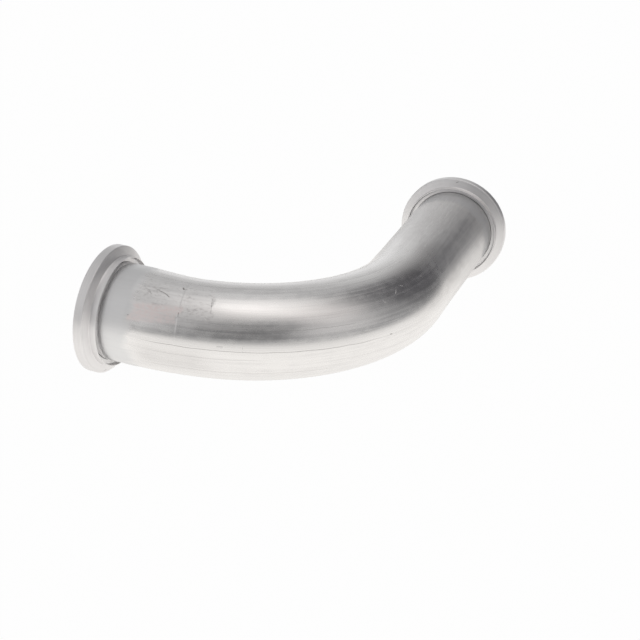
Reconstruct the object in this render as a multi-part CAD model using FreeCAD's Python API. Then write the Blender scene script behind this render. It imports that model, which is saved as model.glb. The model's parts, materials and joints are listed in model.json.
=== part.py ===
"""Intermediate exhaust pipe: one bent tube with a turned V-band flange welded inside each end.

The pipe lies as it comes to rest on a level surface, on both flange rims and the belly of its bend.
"""

import FreeCAD, Part
import math
import os

from FreeCAD import Vector

# Tube
tube_outer_diameter = 101.6
tube_wall = 1.65
bend_centreline_radius = 203.2
bend_angle_deg = 90.0
inlet_leg = 66.4     # straight run from the inlet sealing face to the start of the bend
outlet_leg = 234.7   # straight run from the end of the bend to the outlet sealing face

# Each end of the tube is expanded to the flange
end_expansion = 1.9            # radial
sized_length = 46.0            # sealing face to the end of the expanded cylinder
inlet_taper_length = 55.0      # from there down to the plain tube
outlet_taper_length = 150.0

# V-band flange, turned from one ring; both ends carry the same ring
rim_width = 9.6
clamp_face_height = 9.7    # radial, from the hub to the rim
taper_angle_deg = 20.0     # clamping face, measured from the radial plane
flange_length = 20.5       # sealing face to the end of the hub
recess_gap = 5.7           # radial, round the tube at the end of the hub
recess_depth = 6.0         # end of the hub to the flat bottom of the recess
hub_lip = 0.9              # radial thickness of the hub round the recess
rim_chamfer = 0.4
hub_root_radius = 1.0
bore_chamfer = 0.5

# Fit of the tube in the flange, and the bead that joins them
seat_clearance = 0.4       # radial
tube_setback = 3.0         # sealing face to the end of the tube
weld_recess = 1.0          # sealing face to the start of the bead
weld_bulge = 0.3

# Sizes worked out from the ones above
tube_radius = tube_outer_diameter / 2
end_radius = tube_radius + end_expansion
end_bore_radius = end_radius - tube_wall
seat_radius = end_radius + seat_clearance
recess_radius = end_radius + recess_gap
hub_radius = recess_radius + hub_lip
flange_radius = hub_radius + clamp_face_height
bend_angle = math.radians(bend_angle_deg)

# The bend lies in the XY plane: the inlet face is centred on the origin and the short leg runs along +X
up = Vector(0, 0, 1)
inlet_face = Vector(0, 0, 0)
inlet_axis = Vector(1, 0, 0)    # from the inlet face into the pipe
bend_start = inlet_axis * inlet_leg
bend_centre = bend_start + Vector(0, bend_centreline_radius, 0)
outlet_direction = Vector(math.cos(bend_angle), math.sin(bend_angle), 0)
outlet_axis = outlet_direction * -1    # from the outlet face into the pipe


def point_on_bend(angle):
    """Centreline point at an angle travelled round the bend from its start."""
    return bend_centre + Vector(math.sin(angle), -math.cos(angle), 0) * bend_centreline_radius


bend_end = point_on_bend(bend_angle)
outlet_face = bend_end + outlet_direction * outlet_leg
inlet_place = FreeCAD.Placement(inlet_face, FreeCAD.Rotation(inlet_axis, inlet_axis))
outlet_place = FreeCAD.Placement(outlet_face, FreeCAD.Rotation(inlet_axis, outlet_axis))


def placed(shape, placement):
    """Copy of a shape carried to a place, with the move built into its geometry."""
    return shape.transformed(placement.toMatrix(), True)


def outer_radius_at(distance, taper_length):
    """Outer radius of the tube at a distance from one sealing face, measured along the centreline."""
    share = (distance - sized_length) / taper_length
    return end_radius - end_expansion * min(max(share, 0.0), 1.0)


def straight_rod(leg, taper_length, inset):
    """Solid of one straight leg about X, from the set-back end of the tube to the bend."""
    taper_end = sized_length + taper_length
    stations = sorted({tube_setback, min(sized_length, leg), min(taper_end, leg), leg})
    outline = [(station, outer_radius_at(station, taper_length) - inset) for station in stations]
    return revolve_about_x([(tube_setback, 0)] + outline + [(leg, 0)])


def bend_rod(inset):
    """Solid of the bend: a tapering stretch where an expanded end runs into it, and the plain bend between."""
    inlet_overrun = sized_length + inlet_taper_length - inlet_leg
    outlet_overrun = sized_length + outlet_taper_length - outlet_leg
    entry = min(max(inlet_overrun / bend_centreline_radius, 0.0), bend_angle / 2)
    leaving = min(max(outlet_overrun / bend_centreline_radius, 0.0), bend_angle / 2)
    angles = sorted({0.0, entry, bend_angle - leaving, bend_angle})
    rods = []
    for first, last in zip(angles, angles[1:]):
        middle = (first + last) / 2
        arc = Part.Arc(point_on_bend(first), point_on_bend(middle), point_on_bend(last)).toShape()
        sections = []
        for angle in (first, last):
            from_inlet = inlet_leg + angle * bend_centreline_radius
            from_outlet = outlet_leg + (bend_angle - angle) * bend_centreline_radius
            radius = max(
                outer_radius_at(from_inlet, inlet_taper_length),
                outer_radius_at(from_outlet, outlet_taper_length),
            )
            heading = Vector(math.cos(angle), math.sin(angle), 0)
            section = Part.Circle(point_on_bend(angle), heading, radius - inset)
            sections.append(Part.Wire([section.toShape()]))
        rods.append(Part.Wire([arc]).makePipeShell(sections, True, False))
    return rods


def make_tube():
    """Short leg, bend and long leg as one rod, with the same rod less the wall taken out of it."""
    rods = []
    for inset in (0.0, tube_wall):
        pieces = bend_rod(inset)
        pieces.append(placed(straight_rod(inlet_leg, inlet_taper_length, inset), inlet_place))
        pieces.append(placed(straight_rod(outlet_leg, outlet_taper_length, inset), outlet_place))
        rods.append(pieces[0].fuse(pieces[1:]).removeSplitter())
    outside, inside = rods
    return outside.cut(inside)


def revolve_about_x(points):
    """Ring turned about X from (axial, radial) points; a point with a third value bulges the side after it."""
    edges = []
    for here, after in zip(points, points[1:] + points[:1]):
        first = Vector(here[0], here[1], 0)
        last = Vector(after[0], after[1], 0)
        if len(here) == 3:
            side = last - first
            outward = Vector(-side.y, side.x, 0).normalize()
            middle = (first + last) * 0.5 + outward * here[2]
            edges.append(Part.Arc(first, middle, last).toShape())
        else:
            edges.append(Part.LineSegment(first, last).toShape())
    return Part.Face(Part.Wire(edges)).revolve(Vector(0, 0, 0), Vector(1, 0, 0), 360)


def fillet_circle(solid, axial, radial, radius):
    """Round the one circular edge that lies at this axial place and radius."""
    tolerance = 1e-4
    for edge in solid.Edges:
        curve = edge.Curve
        if not isinstance(curve, Part.Circle):
            continue
        if abs(curve.Center.x - axial) < tolerance and abs(curve.Radius - radial) < tolerance:
            return solid.makeFillet(radius, [edge])
    raise ValueError("no circular edge at the root of the hub")


def make_flange():
    """V-band ring about X with its sealing face at X = 0: rim, tapered clamping face, recessed hub and seat."""
    slope = math.tan(math.radians(taper_angle_deg))
    hub_root = rim_width + clamp_face_height * slope
    recess_floor = flange_length - recess_depth
    ring = revolve_about_x([
        (0, seat_radius + bore_chamfer),
        (0, flange_radius - rim_chamfer),
        (rim_chamfer, flange_radius),
        (rim_width - rim_chamfer, flange_radius),
        (rim_width + rim_chamfer * slope, flange_radius - rim_chamfer),
        (hub_root, hub_radius),
        (flange_length, hub_radius),
        (flange_length, recess_radius),
        (recess_floor, recess_radius),
        (recess_floor, seat_radius),
        (bore_chamfer, seat_radius),
    ])
    return fillet_circle(ring, hub_root, hub_radius, hub_root_radius)


def make_weld():
    """Convex fillet bead about X, between the end face of the tube and the bore of the flange."""
    return revolve_about_x([
        (tube_setback, end_bore_radius, weld_bulge),
        (weld_recess, seat_radius),
        (tube_setback, seat_radius),
    ])


def resting_normal():
    """Upward normal, in the bend's own frame, of the level surface that the pipe comes to rest on.

    It rests on three points: the lowest of each rim and of the bend's belly. They depend on the tilt a little,
    so the plane through them is found again until it settles.
    """
    rounds = 40
    normal = Vector(up)
    rims = ((inlet_face, inlet_axis), (outlet_face, outlet_axis))
    for _ in range(rounds):
        contacts = []
        for face, axis in rims:
            lean = normal.dot(axis)
            inner_edge = rim_width - rim_chamfer
            width = rim_chamfer if lean > 0 else inner_edge
            down = (axis * lean - normal).normalize()
            contacts.append(face + axis * width + down * flange_radius)
        downhill = math.atan2(-normal.x, normal.y) if normal.x or normal.y else bend_angle / 2
        travel = min(max(downhill, 0.0), bend_angle)
        contacts.append(point_on_bend(travel) - normal * tube_radius)
        inlet_contact, outlet_contact, belly = contacts
        normal = (belly - inlet_contact).cross(outlet_contact - inlet_contact).normalize()
    return normal


nodes = {
    "bent_tube": make_tube(),
    "inlet_flange": placed(make_flange(), inlet_place),
    "outlet_flange": placed(make_flange(), outlet_place),
    "inlet_weld": placed(make_weld(), inlet_place),
    "outlet_weld": placed(make_weld(), outlet_place),
}

# Tilt everything to its rest, then bring the middle of its footprint to the origin
tilt = FreeCAD.Placement(Vector(), FreeCAD.Rotation(resting_normal(), up))
nodes = {name: placed(shape, tilt) for name, shape in nodes.items()}
box = Part.makeCompound(list(nodes.values())).optimalBoundingBox(False)
to_origin = FreeCAD.Placement(Vector(-box.Center.x, -box.Center.y, -box.ZMin), FreeCAD.Rotation())

os.makedirs("parts", exist_ok=True)
for name, shape in nodes.items():
    placed(shape, to_origin).exportStep(f"parts/{name}.step")
    print(name, "volume", round(shape.Volume), "valid", shape.isValid())
to_frame = to_origin.multiply(tilt)
for label, face, axis in (("inlet", inlet_face, inlet_axis), ("outlet", outlet_face, outlet_axis)):
    print(label, "face centre", to_frame.multVec(face), "outward", to_frame.Rotation.multVec(axis * -1))
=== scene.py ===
import json
import math

import bmesh
import bpy
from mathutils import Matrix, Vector, noise


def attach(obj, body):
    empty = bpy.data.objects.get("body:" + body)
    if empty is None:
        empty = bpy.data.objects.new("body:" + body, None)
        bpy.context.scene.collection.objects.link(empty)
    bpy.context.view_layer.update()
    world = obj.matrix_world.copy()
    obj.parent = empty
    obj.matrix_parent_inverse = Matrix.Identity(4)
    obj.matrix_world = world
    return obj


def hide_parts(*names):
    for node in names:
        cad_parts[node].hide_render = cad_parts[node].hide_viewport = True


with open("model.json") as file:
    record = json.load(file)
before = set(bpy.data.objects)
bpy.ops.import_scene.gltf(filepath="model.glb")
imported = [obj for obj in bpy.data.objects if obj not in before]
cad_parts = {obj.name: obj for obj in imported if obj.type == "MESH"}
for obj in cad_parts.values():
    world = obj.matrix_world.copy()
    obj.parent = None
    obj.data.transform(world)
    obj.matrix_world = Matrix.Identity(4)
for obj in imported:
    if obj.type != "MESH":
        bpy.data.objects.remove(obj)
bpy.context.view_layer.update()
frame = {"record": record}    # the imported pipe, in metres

mm = 0.001
sharpAngle = 40    # degrees between two faces, from which their edge shades as an edge
scene = bpy.context.scene
scene.view_settings.view_transform = "Standard"
scene.cycles.glossy_bounces = 12    # light finds its way out of the recess round the tube


# Small helpers for meshes

def clamped(value):
    return min(max(value, 0.0), 1.0)


def eased(value, start, end):
    share = clamped((value - start) / (end - start))
    return share * share * (3 - 2 * share)


def finishMesh(name, verts, faces, materials, node, faceSlots=None):
    mesh = bpy.data.meshes.new(name)
    mesh.from_pydata(verts, [], faces)
    for material in materials:
        mesh.materials.append(material)
    if faceSlots:
        mesh.polygons.foreach_set("material_index", faceSlots)
    work = bmesh.new()
    work.from_mesh(mesh)
    bmesh.ops.recalc_face_normals(work, faces=work.faces)
    work.to_mesh(mesh)
    work.free()
    mesh.polygons.foreach_set("use_smooth", [True] * len(mesh.polygons))
    mesh.set_sharp_from_angle(angle=math.radians(sharpAngle))
    piece = bpy.data.objects.new(name, mesh)
    scene.collection.objects.link(piece)
    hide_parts(node)
    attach(piece, "root")
    print("made", name, "with", len(mesh.polygons), "faces")
    return piece


def pointVectors(piece, name, values):
    layer = piece.data.attributes.new(name, "FLOAT_VECTOR", "POINT")
    layer.data.foreach_set("vector", [number for value in values for number in value])


# Small helpers for materials

def newTree(name):
    material = bpy.data.materials.new(name)
    material.use_nodes = True
    material.node_tree.nodes.clear()
    return material, material.node_tree


def addNode(tree, kind, inputs=None, **settings):
    made = tree.nodes.new(kind)
    for key, value in settings.items():
        setattr(made, key, value)
    for key, value in (inputs or {}).items():
        if isinstance(value, bpy.types.NodeSocket):
            tree.links.new(value, made.inputs[key])
        else:
            made.inputs[key].default_value = value
    return made


def calc(tree, operation, first, second=None):
    inputs = {0: first}
    if second is not None:
        inputs[1] = second
    return addNode(tree, "ShaderNodeMath", inputs, operation=operation).outputs[0]


def vectorCalc(tree, operation, first, second):
    return addNode(tree, "ShaderNodeVectorMath", {0: first, 1: second}, operation=operation).outputs[0]


def minus(tree, first, second):
    return calc(tree, "SUBTRACT", first, second)


def plus(tree, *values):
    added = values[0]
    for value in values[1:]:
        added = calc(tree, "ADD", added, value)
    return added


def times(tree, *factors):
    product = factors[0]
    for factor in factors[1:]:
        product = calc(tree, "MULTIPLY", product, factor)
    return product


def summed(tree, *products):
    # each product is given as a tuple of its factors
    return plus(tree, *[times(tree, *factors) for factors in products])


def remap(tree, value, fromLow, fromHigh, toLow=0.0, toHigh=1.0):
    inputs = {
        "Value": value, "From Min": fromLow, "From Max": fromHigh, "To Min": toLow, "To Max": toHigh,
    }
    return addNode(tree, "ShaderNodeMapRange", inputs, interpolation_type="SMOOTHSTEP").outputs[0]


def window(tree, value, low, high, soft):
    rise = remap(tree, value, low - soft, low + soft)
    fall = remap(tree, value, high - soft, high + soft, 1.0, 0.0)
    return times(tree, rise, fall)


def noiseOf(tree, place, stretch, detail=3.0, rough=0.55):
    # stretch is the number of cells in a metre along each axis
    scaled = vectorCalc(tree, "MULTIPLY", place, stretch)
    inputs = {"Vector": scaled, "Scale": 1.0, "Detail": detail, "Roughness": rough}
    return addNode(tree, "ShaderNodeTexNoise", inputs).outputs[0]


def swing(tree, noiseValue, low, high):
    # most of a noise lies between 0.3 and 0.7
    return remap(tree, noiseValue, 0.3, 0.7, low, high)


def mixColour(tree, share, first, second):
    # inputs 0, 6 and 7 are the share and the two colours
    return addNode(tree, "ShaderNodeMix", {0: share, 6: first, 7: second}, data_type="RGBA").outputs[2]


def attributeOf(tree, name):
    return addNode(tree, "ShaderNodeAttribute", attribute_name=name).outputs["Vector"]


def finishMetal(tree, colour, roughness, height, depth, anisotropic=0.0):
    # depth is in mm; a piece with a grain carries its direction in the attribute hoop
    bump = addNode(tree, "ShaderNodeBump", {"Height": height, "Strength": 1.0, "Distance": depth * mm})
    inputs = {"Base Color": colour, "Metallic": 1.0, "Roughness": roughness, "Normal": bump.outputs[0]}
    if anisotropic:
        inputs["Anisotropic"] = anisotropic
        inputs["Tangent"] = attributeOf(tree, "hoop")
    shader = addNode(tree, "ShaderNodeBsdfPrincipled", inputs)
    addNode(tree, "ShaderNodeOutputMaterial", {"Surface": shader.outputs[0]})


# Where the two ends are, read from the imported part

tube = dict(    # millimetres and degrees
    outerRadius=50.8, wall=1.65, bendRadius=203.2, inletLeg=66.4, outletLeg=234.7,
    endExpansion=1.9, sizedLength=46.0, inletTaper=55.0, outletTaper=150.0, setback=3.0,
    around=180, ringPitch=2.1, boreRingPitch=6.0,
    clampStart=50.0, clampEnd=96.3, clampDepth=0.13,    # grip of the bending die on the short leg
    clampEdge=0.7, clampFade=4.0, clampFrom=97.0, clampTo=263.0, clampSideFade=3.0,
    wavy=0.05, wavyAcross=26.0, wavyAlong=14.0,    # height of the faint waves in the skin, and waves per metre
)
flange = dict(    # millimetres and degrees
    rimWidth=9.6, clampFaceHeight=9.7, taperAngle=20.0, length=20.5, recessGap=5.7, recessDepth=6.0,
    hubLip=0.9, rimChamfer=0.4, rootRadius=1.0, boreChamfer=0.5, seatClearance=0.4,
    edgeRound=0.2, fineRound=0.1, recessRound=3.0, around=256,
    inletSpin=160.0, outletSpin=0.0,    # how far the finish is turned round each ring, so that they differ
)

mounts = {mount["name"]: mount for mount in frame["record"]["mounts"]}
inletOut = Vector(mounts["inlet_rim"]["axis"]).normalized()
outletOut = Vector(mounts["outlet_rim"]["axis"]).normalized()
halfRim = flange["rimWidth"] * mm / 2
inletFace = Vector(mounts["inlet_rim"]["pos_m"]) + inletOut * halfRim
outletFace = Vector(mounts["outlet_rim"]["pos_m"]) + outletOut * halfRim
alongInlet = -inletOut
alongOutlet = outletOut
bendUp = alongInlet.cross(alongOutlet).normalized()

bendTurn = alongInlet.angle(alongOutlet)
bendRun = tube["bendRadius"] * bendTurn
fullRun = tube["inletLeg"] + bendRun + tube["outletLeg"]
endRadius = tube["outerRadius"] + tube["endExpansion"]
seatRadius = endRadius + flange["seatClearance"]


def centreline(run):
    # centre of the tube, and the direction to the inside of the bend, at a run from the inlet face
    if run <= tube["inletLeg"]:
        return inletFace + alongInlet * run * mm, alongOutlet
    if run >= tube["inletLeg"] + bendRun:
        return outletFace - alongOutlet * (fullRun - run) * mm, -alongInlet
    angle = (run - tube["inletLeg"]) / tube["bendRadius"]
    inward = alongOutlet * math.cos(angle) - alongInlet * math.sin(angle)
    pivot = inletFace + alongInlet * tube["inletLeg"] * mm + alongOutlet * tube["bendRadius"] * mm
    return pivot - inward * tube["bendRadius"] * mm, inward


def tubeRadius(run):
    radius = tube["outerRadius"]
    for fromEnd, taper in ((run, tube["inletTaper"]), (fullRun - run, tube["outletTaper"])):
        share = clamped((fromEnd - tube["sizedLength"]) / taper)
        radius = max(radius, endRadius - tube["endExpansion"] * share)
    return radius


# Bent tube

def gripDepth(run, turn):
    # the bending die pressed a shallow seat into the outside of the short leg
    edge, fade, sideFade = tube["clampEdge"], tube["clampFade"], tube["clampSideFade"]
    lengthwise = eased(run, tube["clampStart"] - fade, tube["clampStart"] + fade)
    lengthwise *= 1 - eased(run, tube["clampEnd"] - edge, tube["clampEnd"] + edge)
    across = eased(turn, tube["clampFrom"] - sideFade, tube["clampFrom"] + sideFade)
    across *= 1 - eased(turn, tube["clampTo"] - sideFade, tube["clampTo"] + sideFade)
    return tube["clampDepth"] * lengthwise * across


def ringRuns(pitch, extra=()):
    first, last = tube["setback"], fullRun - tube["setback"]
    count = round((last - first) / pitch)
    runs = {first + (last - first) * index / count for index in range(count + 1)}
    return sorted(runs | {run for run in extra if first < run < last})


def makeTube(materials):
    edge = tube["clampEdge"]
    gripRings = [tube["clampEnd"] + edge * step for step in (-1.6, -1, -0.5, 0, 0.5, 1, 1.6)]
    taperRings = [tube["sizedLength"], fullRun - tube["sizedLength"]]
    outerRuns = ringRuns(tube["ringPitch"], gripRings + taperRings)
    boreRuns = ringRuns(tube["boreRingPitch"], taperRings)
    around = tube["around"]
    across, lengthwise = tube["wavyAcross"], tube["wavyAlong"]
    verts, unbent, hoops = [], [], []
    for runs, inset in ((outerRuns, 0.0), (boreRuns, tube["wall"])):
        for run in runs:
            centre, inward = centreline(run)
            for index in range(around):
                turn = 360.0 * index / around
                angle = math.radians(turn)
                flat = Vector((math.cos(angle), math.sin(angle), 0)) * tube["outerRadius"] * mm
                flat.z = run * mm
                radius = tubeRadius(run) - inset
                if not inset:
                    swell = noise.noise(Vector((flat.x * across, flat.y * across, flat.z * lengthwise)))
                    radius += tube["wavy"] * swell - gripDepth(run, turn)
                out = inward * math.cos(angle) + bendUp * math.sin(angle)
                verts.append(centre + out * radius * mm)
                unbent.append(flat)
                hoops.append(bendUp * math.cos(angle) - inward * math.sin(angle))
    faces, faceSlots = [], []
    firstBore = len(outerRuns) * around

    def ringOf(start, index):
        return [start + index * around + step % around for step in range(around + 1)]

    def joinRings(low, high, slotIndex):
        for step in range(around):
            faces.append((low[step], low[step + 1], high[step + 1], high[step]))
            faceSlots.append(slotIndex)

    for start, runs, slotIndex in ((0, outerRuns, 0), (firstBore, boreRuns, 1)):
        for index in range(len(runs) - 1):
            joinRings(ringOf(start, index), ringOf(start, index + 1), slotIndex)
    joinRings(ringOf(0, 0), ringOf(firstBore, 0), 0)
    joinRings(ringOf(0, len(outerRuns) - 1), ringOf(firstBore, len(boreRuns) - 1), 0)
    piece = finishMesh("bentTubeSkin", verts, faces, materials, "bent_tube", faceSlots)
    pointVectors(piece, "unbent", unbent)
    pointVectors(piece, "hoop", hoops)
    return piece


# Turned rings: both flanges and the beads inside them

def roundedProfile(corners, steps=5, support=0.2):
    # each corner is axial, radial and the radius that it is rounded to
    points = []
    for index, (axial, radial, rounding) in enumerate(corners):
        here = Vector((axial, radial))
        before = Vector(corners[index - 1][:2])
        after = Vector(corners[(index + 1) % len(corners)][:2])
        inDir, outDir = (before - here).normalized(), (after - here).normalized()
        half = inDir.angle(outDir) / 2
        room = 0.45 * min((before - here).length, (after - here).length)
        cut = min(rounding / math.tan(half), room)
        arcRadius = cut * math.tan(half)
        middle = here + (inDir + outDir).normalized() * arcRadius / math.sin(half)
        start, end = here + inDir * cut, here + outDir * cut
        points.append(start + inDir * support * min(cut, 1.0))
        for step in range(steps + 1):
            chord = start.lerp(end, step / steps) - middle
            points.append(middle + chord.normalized() * arcRadius)
        points.append(end + outDir * support * min(cut, 1.0))
    return points


hubRootCorner = 5    # its place in the list below


def flangeCorners():
    slope = math.tan(math.radians(flange["taperAngle"]))
    recess = endRadius + flange["recessGap"]
    hub = recess + flange["hubLip"]
    rim = hub + flange["clampFaceHeight"]
    hubRoot = flange["rimWidth"] + flange["clampFaceHeight"] * slope
    recessFloor = flange["length"] - flange["recessDepth"]
    chamfer, edge, fine = flange["rimChamfer"], flange["edgeRound"], flange["fineRound"]
    return [
        (0, seatRadius + flange["boreChamfer"], fine),
        (0, rim - chamfer, edge),
        (chamfer, rim, edge),
        (flange["rimWidth"] - chamfer, rim, edge),
        (flange["rimWidth"] + chamfer * slope, rim - chamfer, edge),
        (hubRoot, hub, flange["rootRadius"]),
        (flange["length"], hub, edge),
        (flange["length"], recess, fine),
        (recessFloor, recess, flange["recessRound"]),
        (recessFloor, seatRadius, fine),
        (flange["boreChamfer"], seatRadius, fine),
    ]


def outlineLengths(profile):
    lengths = [0.0]
    for before, here in zip(profile, profile[1:]):
        lengths.append(lengths[-1] + (here - before).length)
    return lengths


def ringAxes(inward):
    side = inward.cross(bendUp).normalized()
    return side, side.cross(inward).normalized()


def hoopFaces(around, count):
    # joins each section of count points to the next, all the way round
    faces = []
    for index in range(around):
        here, after = index * count, (index + 1) % around * count
        for step in range(count):
            following = (step + 1) % count
            faces.append((here + step, here + following, after + following, after + step))
    return faces


def makeFlange(name, node, face, inward, material, spin):
    profile = roundedProfile(flangeCorners())
    lengths = outlineLengths(profile)
    side, upward = ringAxes(inward)
    around = flange["around"]
    verts, turned, hoops = [], [], []
    for index in range(around):
        angle = 2 * math.pi * index / around
        out = side * math.cos(angle) + upward * math.sin(angle)
        hoop = upward * math.cos(angle) - side * math.sin(angle)
        marked = angle + math.radians(spin)
        for point, travelled in zip(profile, lengths):
            verts.append(face + (inward * point.x + out * point.y) * mm)
            unrolled = Vector((math.cos(marked) * point.y, math.sin(marked) * point.y, travelled))
            turned.append(unrolled * mm)
            hoops.append(hoop)
    faces = hoopFaces(around, len(profile))
    piece = finishMesh(name, verts, faces, [material], node)
    pointVectors(piece, "turned", turned)
    pointVectors(piece, "hoop", hoops)
    return piece


weld = dict(    # millimetres; curveBack is a share of one ripple, crown a share of the bulge
    recess=1.0, bulge=0.3, crown=0.6, ripple=0.16, ripplePitch=2.1, curveBack=0.45, perRipple=7, section=9,
)


def makeWeld(name, node, face, inward, material):
    # a bead laid in overlapping ripples between the end of the tube and the bore of the flange
    inner = Vector((tube["setback"], endRadius - tube["wall"]))
    outer = Vector((weld["recess"], seatRadius))
    root = Vector((tube["setback"], seatRadius))
    side, upward = ringAxes(inward)
    ripples = round(2 * math.pi * seatRadius / weld["ripplePitch"])
    around = ripples * weld["perRipple"]
    chord = outer - inner
    swellDir = Vector((-chord.y, chord.x)).normalized()
    if swellDir.dot(root - inner) > 0:
        swellDir = -swellDir
    verts, laid = [], []
    for index in range(around):
        angle = 2 * math.pi * index / around
        out = side * math.cos(angle) + upward * math.sin(angle)
        onSeat = Vector((math.cos(angle) * seatRadius, math.sin(angle) * seatRadius, 0))
        for step in range(weld["section"]):
            share = step / (weld["section"] - 1)
            dome = 4 * share * (1 - share)
            phase = (index / weld["perRipple"] + weld["curveBack"] * dome) % 1.0
            crest = weld["ripple"] * (1 - phase) * dome
            swell = weld["bulge"] * weld["crown"] * dome + crest
            point = inner.lerp(outer, share) + swellDir * swell
            verts.append(face + (inward * point.x + out * point.y) * mm)
            laid.append((onSeat + Vector((0, 0, share))) * mm)
        verts.append(face + (inward * root.x + out * root.y) * mm)
        laid.append((onSeat + Vector((0, 0, 1))) * mm)
    faces = hoopFaces(around, weld["section"] + 1)
    piece = finishMesh(name, verts, faces, [material], node)
    pointVectors(piece, "turned", laid)
    return piece


# Mill finish of the tube
# run is in mm from the inlet face, turn in degrees round the tube: 180 is the outside of the bend, 90 its top

mill = dict(
    # the dull colour is rubbed metal in the held and worn areas, and painted shade in the zones of dark
    # reflections below
    pale=(0.94, 0.93, 0.92, 1), deep=(0.8, 0.79, 0.785, 1), dullAndShade=(0.6, 0.585, 0.58, 1),
    pink=(1.0, 0.905, 0.89, 1), sized=(0.86, 0.865, 0.87, 1),
    scratch=(0.36, 0.35, 0.34, 1), bright=(0.96, 0.95, 0.94, 1),
    roughness=0.25, anisotropic=0.4, relief=0.04,
    sizedEdge=(45.0, 57.0), seatedEdge=(19.5, 21.5),    # mm from the nearer sealing face
    longLegRun=(330, 540), patchLean=0.14,
)
heldZone = dict(run=(56.0, 123.5), turn=(100, 147), runSoft=1.2, turnSoft=12)    # gripped by the bending die
patchZone = dict(run=(53.0, tube["clampEnd"]), turn=(132, 153), runSoft=2, turnSoft=2)    # pale pink
handledZone = dict(run=(430, 560), turn=(72, 114), runSoft=40, turnSoft=12)    # scuffed since it was bent
paintedShadeZones = [    # painted shade: the colour is darkened here to stand for dark reflections of the room
    dict(run=(318, 430), turn=(97, 123), runSoft=30, turnSoft=9, share=0.75),
    dict(run=(325, 455), turn=(149, 173), runSoft=35, turnSoft=9, share=0.6),
    dict(run=(62, 122), turn=(180, 213), runSoft=14, turnSoft=9, share=0.3),
]
darkMarks = [
    dict(run=173, turn=178.2, length=236, width=1.0, depth=0.6),    # seams of the bending die
    dict(run=152, turn=210, length=190, width=0.9, depth=0.45),
    dict(run=205, turn=153, length=110, width=0.8, depth=0.4),
    dict(run=178, turn=96, length=170, width=0.8, depth=0.5),
    dict(run=230, turn=103, length=160, width=0.7, depth=0.35),
    dict(run=120, turn=189, length=110, width=0.8, depth=0.3),
    dict(run=290, turn=92, length=120, width=0.8, depth=0.4),
    dict(run=288, turn=177.4, length=3.0, width=2.2, depth=0.9),    # nicks and scratches
    dict(run=79, turn=119, length=15, width=1.5, slant=24, curve=-24, depth=0.9),
    dict(run=94, turn=107, length=4.2, width=2.4, slant=60, depth=1.0),
    dict(run=96.6, turn=142, length=6, width=1.0, slant=88, depth=0.7),
    dict(run=123.5, turn=126, length=20, width=0.9, slant=88, depth=0.6),
    dict(run=51, turn=154, length=2.4, width=1.5, depth=0.6),
    dict(run=66, turn=122, length=6.0, width=1.4, slant=50, depth=0.5),
    dict(run=72, turn=116, length=4.0, width=1.4, slant=-30, depth=0.5),
]
brightMarks = [
    dict(run=117, turn=140.8, length=10.5, width=1.1, slant=32, depth=0.9),    # scratches near the grip
    dict(run=119, turn=138.6, length=8.0, width=0.9, slant=32, depth=0.8),
    dict(run=133.5, turn=174, length=6.0, width=3.0, depth=0.7),
    dict(run=152, turn=176, length=8.0, width=0.8, slant=88, depth=0.6),
    dict(run=124.6, turn=119, length=16, width=0.9, slant=88, depth=0.6),
    dict(run=97, turn=136.2, length=6.5, width=1.2, slant=90, depth=0.9),
    dict(run=104, turn=131, length=14, width=0.9, slant=-8, depth=0.5),
    dict(run=287, turn=137, length=4.0, width=1.8, slant=50, depth=1.0),    # nicks past the bend
    dict(run=306, turn=130, length=6.0, width=1.5, slant=-50, depth=1.0),
    dict(run=317, turn=126, length=4.4, width=1.5, slant=30, depth=0.9),
    dict(run=352, turn=128, length=4.0, width=1.4, slant=40, depth=0.7),
    dict(run=426, turn=104, length=36, width=3.4, slant=-3, depth=0.8),    # scuffs along the long leg
    dict(run=470, turn=102, length=48, width=3.2, slant=2, depth=0.7),
    dict(run=516, turn=98, length=42, width=2.8, slant=-2, depth=0.7),
    dict(run=440, turn=95, length=52, width=2.2, slant=2, depth=0.6),
    dict(run=388, turn=98, length=52, width=2.8, slant=3, depth=0.7),
    dict(run=330, turn=95, length=64, width=2.2, slant=1, depth=0.6),
]


def aroundTube(turn):
    # way round the skin from the outside of the bend, in metres
    return math.radians(turn - 180) * tube["outerRadius"] * mm


def distanceFromEnd(tree, along):
    return calc(tree, "MINIMUM", along, minus(tree, fullRun * mm, along))


def zoneOf(tree, zone, along, around):
    runFrom, runTo = zone["run"]
    turnFrom, turnTo = zone["turn"]
    lengthwise = window(tree, along, runFrom * mm, runTo * mm, zone["runSoft"] * mm)
    across = window(tree, around, aroundTube(turnFrom), aroundTube(turnTo), zone["turnSoft"] * mm)
    return times(tree, lengthwise, across)


def markGroup():
    # one scratch: a thin stroke that can slant and curve, and fades towards its tips
    group = bpy.data.node_groups.new("surfaceMark", "ShaderNodeTree")
    for name in ("Along", "Around", "Run", "Turn", "Half length", "Half width", "Slant", "Curve"):
        group.interface.new_socket(name=name, in_out="INPUT", socket_type="NodeSocketFloat")
    group.interface.new_socket(name="Mask", in_out="OUTPUT", socket_type="NodeSocketFloat")
    given = addNode(group, "NodeGroupInput").outputs
    ahead = minus(group, given["Along"], given["Run"])
    aside = minus(group, given["Around"], given["Turn"])
    cosine = calc(group, "COSINE", given["Slant"])
    sine = calc(group, "SINE", given["Slant"])
    lengthwise = summed(group, (ahead, cosine), (aside, sine))
    across = minus(group, times(group, aside, cosine), times(group, ahead, sine))
    bow = times(group, lengthwise, lengthwise, given["Curve"])
    across = calc(group, "ABSOLUTE", plus(group, across, bow))
    lengthwise = calc(group, "ABSOLUTE", lengthwise)
    core = times(group, given["Half width"], 0.3)
    nearTip = times(group, given["Half length"], 0.7)
    thin = remap(group, across, core, given["Half width"], 1.0, 0.0)
    ended = remap(group, lengthwise, nearTip, given["Half length"], 1.0, 0.0)
    addNode(group, "NodeGroupOutput", {"Mask": times(group, thin, ended)})
    return group


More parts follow.
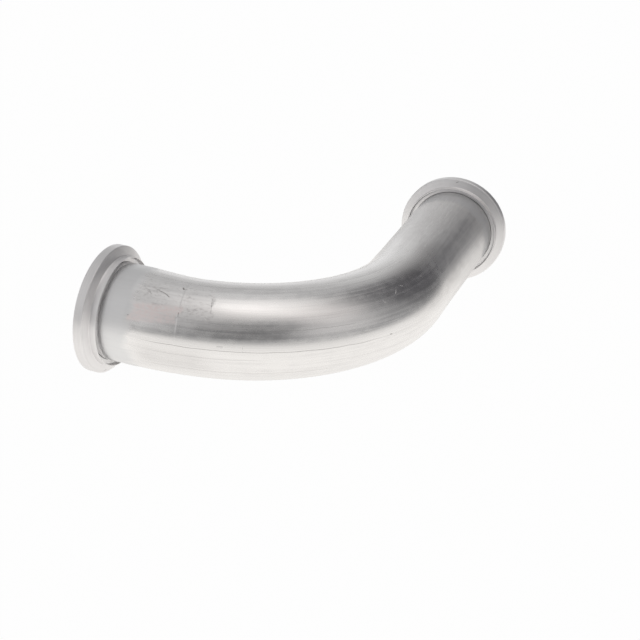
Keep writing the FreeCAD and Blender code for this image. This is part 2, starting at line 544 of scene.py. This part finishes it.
def marksOf(tree, group, along, around, marks):
    masks = []
    for mark in marks:
        made = addNode(tree, "ShaderNodeGroup", {
            "Along": along, "Around": around,
            "Run": mark["run"] * mm, "Turn": aroundTube(mark["turn"]),
            "Half length": mark["length"] * mm / 2, "Half width": mark["width"] * mm / 2,
            "Slant": math.radians(mark.get("slant", 0)), "Curve": mark.get("curve", 0.0),
        }, node_tree=group)
        masks.append(times(tree, made.outputs["Mask"], mark["depth"]))
    return calc(tree, "MINIMUM", plus(tree, *masks), 1.0)


def makeTubeFinish():
    material, tree = newTree("millTube")
    place = attributeOf(tree, "unbent")
    split = addNode(tree, "ShaderNodeSeparateXYZ", {0: place}).outputs
    wander = noiseOf(tree, place, (60, 60, 40), 2)
    bearing = calc(tree, "ARCTAN2", times(tree, split["Y"], -1.0), times(tree, split["X"], -1.0))
    around = times(tree, bearing, tube["outerRadius"] * mm)
    around = plus(tree, around, swing(tree, wander, -0.0004, 0.0004))
    along = split["Z"]
    fromEnd = distanceFromEnd(tree, along)

    fineLines = noiseOf(tree, place, (1000, 1000, 6), 3)
    streaks = noiseOf(tree, place, (230, 230, 7), 4, 0.6)
    mottle = noiseOf(tree, place, (105, 105, 75), 6, 0.62)
    fleck = noiseOf(tree, place, (430, 430, 260), 4, 0.6)
    drag = noiseOf(tree, place, (330, 330, 34), 5, 0.62)

    # zones, with edges that wander a little
    edgeWander = swing(tree, wander, -0.004, 0.004)
    wandered = plus(tree, along, edgeWander)
    sizedFrom, sizedTo = mill["sizedEdge"]
    sized = remap(tree, plus(tree, fromEnd, edgeWander), sizedFrom * mm, sizedTo * mm, 1.0, 0.0)
    worked = minus(tree, 1.0, sized)
    seatedFrom, seatedTo = mill["seatedEdge"]
    seated = remap(tree, fromEnd, seatedFrom * mm, seatedTo * mm, 1.0, 0.0)
    legFrom, legTo = mill["longLegRun"]
    longLeg = remap(tree, summed(tree, (along,), (edgeWander, 2.0)), legFrom * mm, legTo * mm)
    held = zoneOf(tree, heldZone, wandered, around)
    lean = times(tree, minus(tree, along, tube["clampEnd"] * mm), mill["patchLean"])
    patch = zoneOf(tree, patchZone, wandered, plus(tree, around, lean))
    patch = times(tree, patch, remap(tree, fleck, 0.32, 0.6, 0.35, 1.0))
    handled = zoneOf(tree, handledZone, summed(tree, (along,), (edgeWander, 5.0)), around)
    scuffed = times(tree, handled, remap(tree, drag, 0.47, 0.66))
    worn = minus(tree, handled, scuffed)

    group = markGroup()
    dark = marksOf(tree, group, along, around, darkMarks)
    dark = times(tree, dark, remap(tree, streaks, 0.3, 0.6, 0.55, 1.0))
    bright = marksOf(tree, group, along, around, brightMarks)
    bright = times(tree, bright, remap(tree, drag, 0.36, 0.56, 0.25, 1.0))

    # colour, laid on in this order
    lines = summed(tree, (streaks, 0.5), (fineLines, 0.2), (mottle, 0.3))
    colour = mixColour(tree, remap(tree, lines, 0.36, 0.6), mill["deep"], mill["pale"])
    speckled = summed(tree, (fleck, 0.6), (mottle, 0.4))
    blotch = times(tree, held, remap(tree, speckled, 0.48, 0.68))
    layers = [
        (times(tree, blotch, 0.8), "dullAndShade"),
        (times(tree, sized, 0.85), "sized"),
        (times(tree, patch, 0.8), "pink"),
        (times(tree, worn, 0.3), "dullAndShade"),
    ]
    # painted shade: these zones darken the colour where the tube reflects the dark side of the room
    for zone in paintedShadeZones:
        layers.append((times(tree, zoneOf(tree, zone, along, around), zone["share"]), "dullAndShade"))
    layers += [(scuffed, "bright"), (dark, "scratch"), (bright, "bright")]
    for share, shade in layers:
        colour = mixColour(tree, share, colour, mill[shade])

    uneven = plus(tree, swing(tree, mottle, -0.04, 0.05), swing(tree, streaks, -0.04, 0.04))
    roughness = summed(
        tree, (uneven, worked), (mill["roughness"],), (held, 0.12), (patch, 0.2), (scuffed, 0.2),
        (dark, 0.2), (bright, 0.3), (sized, 0.2), (longLeg, 0.22), (seated, -0.22),
    )
    height = summed(
        tree, (fineLines, 0.03), (streaks, 0.4, worked), (fleck, 0.25, held), (drag, 0.6, handled),
        (bright, 1.5), (dark, -0.6),
    )
    finishMetal(tree, colour, roughness, height, mill["relief"], mill["anisotropic"])
    return material


# Bore of the tube, tinted by the heat of the welds

bore = dict(
    deep=(0.5, 0.49, 0.48, 1), pale=(0.63, 0.62, 0.6, 1), clean=(0.62, 0.61, 0.59, 1),
    blue=(0.36, 0.38, 0.46, 1), purple=(0.48, 0.36, 0.36, 1), straw=(0.62, 0.5, 0.34, 1),
    tintRun=(3.0, 22.0), fadeRun=(4.0, 20.0), relief=0.01,    # mm
    roughness=(0.32, 0.46),
)


def makeBoreFinish():
    material, tree = newTree("tubeBore")
    place = attributeOf(tree, "unbent")
    along = addNode(tree, "ShaderNodeSeparateXYZ", {0: place}).outputs["Z"]
    lines = noiseOf(tree, place, (700, 700, 6), 4)
    mottle = noiseOf(tree, place, (90, 90, 60), 5)
    colour = mixColour(tree, swing(tree, lines, 0.0, 1.0), bore["deep"], bore["pale"])
    heat = plus(tree, distanceFromEnd(tree, along), swing(tree, mottle, -0.002, 0.002))
    tintFrom, tintTo = bore["tintRun"]
    tint = addNode(tree, "ShaderNodeValToRGB", {0: remap(tree, heat, tintFrom * mm, tintTo * mm)})
    ramp = tint.color_ramp
    ramp.elements[0].color = bore["blue"]
    ramp.elements[1].color = bore["clean"]
    for position, shade in ((0.22, "purple"), (0.5, "straw")):
        ramp.elements.new(position).color = bore[shade]
    fadeFrom, fadeTo = bore["fadeRun"]
    tinted = remap(tree, heat, fadeFrom * mm, fadeTo * mm, 0.75, 0.0)
    colour = mixColour(tree, tinted, colour, tint.outputs[0])
    finishMetal(tree, colour, swing(tree, mottle, *bore["roughness"]), lines, bore["relief"])
    return material


# Turned satin of the flanges

satin = dict(
    pale=(0.92, 0.91, 0.91, 1), deep=(0.85, 0.84, 0.84, 1), roughness=0.42, anisotropic=0.3, relief=0.008,
)
nick = dict(    # on the clamping face: mm, bearing in degrees, sweep in radians, lean in mm per radian
    colour=(0.3, 0.29, 0.29, 1), aboveRoot=6.2, halfWidth=0.4, soft=0.4,
    bearing=89.0, halfSweep=0.025, sweepSoft=0.012, lean=30.0,
)


def nickMask(tree, place):
    profile = roundedProfile(flangeCorners())
    perCorner = len(profile) // len(flangeCorners())
    travelled = (outlineLengths(profile)[hubRootCorner * perCorner] - nick["aboveRoot"]) * mm
    middle = math.radians(nick["bearing"])
    split = addNode(tree, "ShaderNodeSeparateXYZ", {0: place}).outputs
    bearing = calc(tree, "ARCTAN2", split["Y"], split["X"])
    leaned = plus(tree, split["Z"], times(tree, minus(tree, bearing, middle), nick["lean"] * mm))
    half, sweep = nick["halfWidth"] * mm, nick["halfSweep"]
    across = window(tree, leaned, travelled - half, travelled + half, nick["soft"] * mm)
    lengthwise = window(tree, bearing, middle - sweep, middle + sweep, nick["sweepSoft"])
    return times(tree, across, lengthwise)


def makeFlangeFinish():
    material, tree = newTree("turnedFlange")
    place = attributeOf(tree, "turned")
    grooves = noiseOf(tree, place, (14, 14, 5200), 3)
    bands = noiseOf(tree, place, (8, 8, 900), 3)
    cloud = noiseOf(tree, place, (45, 45, 80), 4)
    speck = noiseOf(tree, place, (900, 900, 900), 3)
    lines = summed(tree, (grooves, 0.4), (bands, 0.4), (cloud, 0.2))
    colour = mixColour(tree, remap(tree, lines, 0.36, 0.62), satin["deep"], satin["pale"])
    colour = mixColour(tree, times(tree, nickMask(tree, place), 0.8), colour, nick["colour"])
    roughness = plus(tree, swing(tree, cloud, -0.04, 0.05), satin["roughness"])
    height = summed(tree, (grooves,), (bands, 0.8), (speck, 0.3))
    finishMetal(tree, colour, roughness, height, satin["relief"], satin["anisotropic"])
    return material


# Weld metal

bead = dict(
    pale=(0.62, 0.59, 0.55, 1), straw=(0.58, 0.47, 0.32, 1), blue=(0.36, 0.38, 0.46, 1),
    roughness=0.34, relief=0.02,
)


def makeWeldFinish():
    material, tree = newTree("weldBead")
    place = attributeOf(tree, "turned")
    cloud = noiseOf(tree, place, (60, 60, 400), 4)
    film = noiseOf(tree, place, (220, 220, 900), 4)
    colour = mixColour(tree, remap(tree, cloud, 0.35, 0.6), bead["pale"], bead["straw"])
    colour = mixColour(tree, remap(tree, film, 0.52, 0.7, 0.0, 0.7), colour, bead["blue"])
    roughness = plus(tree, swing(tree, film, -0.06, 0.12), bead["roughness"])
    finishMetal(tree, colour, roughness, film, bead["relief"])
    return material


makeTube([makeTubeFinish(), makeBoreFinish()])
flangeFinish = makeFlangeFinish()
weldFinish = makeWeldFinish()
for end, face, inward in (("inlet", inletFace, alongInlet), ("outlet", outletFace, -alongOutlet)):
    makeFlange(end + "FlangeRing", end + "_flange", face, inward, flangeFinish, flange[end + "Spin"])
    makeWeld(end + "WeldBead", end + "_weld", face, inward, weldFinish)
print("pieces finished")


# Studio: a white sheet on a darker table, in a grey room with soft lights all round

studio = dict(    # metres; the sheet is an oval with a soft edge
    room=(0.32, 0.318, 0.32), floorSize=30.0, floorColour=(0.9, 0.89, 0.87, 1), floorWhite=0.98,
    sheetWarm=(0.99, 0.97, 0.945, 1), farTable=(0.31, 0.31, 0.315, 1),
    sheetEdge=(0.69, 1.02), sheetCentre=(-0.2, 0.7, 0.0), sheetScale=(1.2, 0.6, 1.0),
)
softLights = [    # degrees: azimuth from +Y towards +X, elevation, and how far each one reaches
    dict(azimuth=105, elevation=73, reach=30, colour=(0.4, 0.38, 0.365)),
    dict(azimuth=153, elevation=65, reach=30, colour=(0.315, 0.3, 0.29)),
    dict(azimuth=-65, elevation=89, reach=35, colour=(0.24, 0.24, 0.24)),
    dict(azimuth=104, elevation=6, reach=30, colour=(0.29, 0.28, 0.275)),
    dict(azimuth=100, elevation=43, reach=24, colour=(0.345, 0.32, 0.31)),
    dict(azimuth=-132, elevation=24, reach=52, colour=(0.435, 0.43, 0.43)),
    dict(azimuth=-23, elevation=47, reach=36, colour=(0.165, 0.165, 0.165)),
    dict(azimuth=-24, elevation=-1, reach=31, colour=(0.57, 0.57, 0.57)),
    dict(azimuth=0, elevation=26, reach=24, colour=(0.15, 0.15, 0.147)),
    dict(azimuth=152, elevation=12, reach=32, colour=(-0.12, -0.12, -0.12)),    # dark sides of the room
    dict(azimuth=37, elevation=28, reach=38, colour=(-0.23, -0.23, -0.225)),
    dict(azimuth=-160, elevation=8, reach=30, colour=(-0.06, -0.06, -0.06)),
    dict(azimuth=-75, elevation=35, reach=40, colour=(-0.13, -0.13, -0.13)),
    dict(azimuth=-150, elevation=55, reach=30, colour=(-0.08, -0.08, -0.08)),
]
white = (1, 1, 1, 1)


def directionOf(azimuth, elevation):
    a, e = math.radians(azimuth), math.radians(elevation)
    return Vector((math.sin(a) * math.cos(e), math.cos(a) * math.cos(e), math.sin(e)))


def makeStudioWorld():
    world = bpy.data.worlds.new("studio")
    scene.world = world
    world.use_nodes = True
    tree = world.node_tree
    tree.nodes.clear()
    ray = addNode(tree, "ShaderNodeTexCoord").outputs["Generated"]
    level = addNode(tree, "ShaderNodeCombineXYZ", dict(zip("XYZ", studio["room"]))).outputs[0]
    for light in softLights:
        towards = directionOf(light["azimuth"], light["elevation"])
        facing = addNode(tree, "ShaderNodeVectorMath", {0: ray, 1: towards}, operation="DOT_PRODUCT")
        share = remap(tree, facing.outputs["Value"], math.cos(math.radians(light["reach"])), 1.0)
        inputs = {0: light["colour"], "Scale": share}
        glow = addNode(tree, "ShaderNodeVectorMath", inputs, operation="SCALE").outputs[0]
        level = vectorCalc(tree, "ADD", level, glow)
    path = addNode(tree, "ShaderNodeLightPath").outputs
    room = addNode(tree, "ShaderNodeBackground", {"Color": level, "Strength": 1.0}).outputs[0]
    blank = addNode(tree, "ShaderNodeBackground", {"Color": white, "Strength": 1.0}).outputs[0]
    mixed = addNode(tree, "ShaderNodeMixShader", {0: path["Is Camera Ray"], 1: room, 2: blank}).outputs[0]
    addNode(tree, "ShaderNodeOutputWorld", {"Surface": mixed})


def makeFloor():
    material, tree = newTree("whiteTable")
    matt = addNode(tree, "ShaderNodeBsdfDiffuse", {"Color": studio["floorColour"]}).outputs[0]
    path = addNode(tree, "ShaderNodeLightPath").outputs
    place = addNode(tree, "ShaderNodeNewGeometry").outputs["Position"]
    offset = vectorCalc(tree, "SUBTRACT", place, studio["sheetCentre"])
    offset = vectorCalc(tree, "MULTIPLY", offset, studio["sheetScale"])
    away = addNode(tree, "ShaderNodeVectorMath", {0: offset}, operation="LENGTH").outputs["Value"]
    edge = remap(tree, away, *studio["sheetEdge"])
    sheet = mixColour(tree, edge, studio["sheetWarm"], studio["farTable"])
    shown = mixColour(tree, path["Is Camera Ray"], sheet, white)
    glow = addNode(tree, "ShaderNodeEmission", {"Color": shown, "Strength": 1.0}).outputs[0]
    seen = plus(tree, path["Is Camera Ray"], path["Is Glossy Ray"], path["Is Transmission Ray"])
    share = times(tree, calc(tree, "MINIMUM", seen, 1.0), studio["floorWhite"])
    mixed = addNode(tree, "ShaderNodeMixShader", {0: share, 1: matt, 2: glow}).outputs[0]
    addNode(tree, "ShaderNodeOutputMaterial", {"Surface": mixed})
    half = studio["floorSize"] / 2
    corners = [(-half, -half, 0), (half, -half, 0), (half, half, 0), (-half, half, 0)]
    mesh = bpy.data.meshes.new("table")
    mesh.from_pydata(corners, [], [(0, 1, 2, 3)])
    mesh.materials.append(material)
    table = bpy.data.objects.new("table", mesh)
    scene.collection.objects.link(table)


# Camera at the photograph's viewing angle

view = dict(    # metres, lens and sensor in mm
    place=(0.45631, -1.2256, 0.48626), aim=(0.05194, -0.12014, 0.06), lens=66.61, sensor=36.0,
)


def makeCamera():
    lens = bpy.data.cameras.new("photoView")
    lens.lens = view["lens"]
    lens.sensor_width = view["sensor"]
    camera = bpy.data.objects.new("photoView", lens)
    camera.location = view["place"]
    gaze = Vector(view["aim"]) - Vector(view["place"])
    camera.rotation_euler = gaze.to_track_quat("-Z", "Y").to_euler()
    scene.collection.objects.link(camera)
    scene.camera = camera


makeStudioWorld()
makeFloor()
makeCamera()
print("studio and camera set")
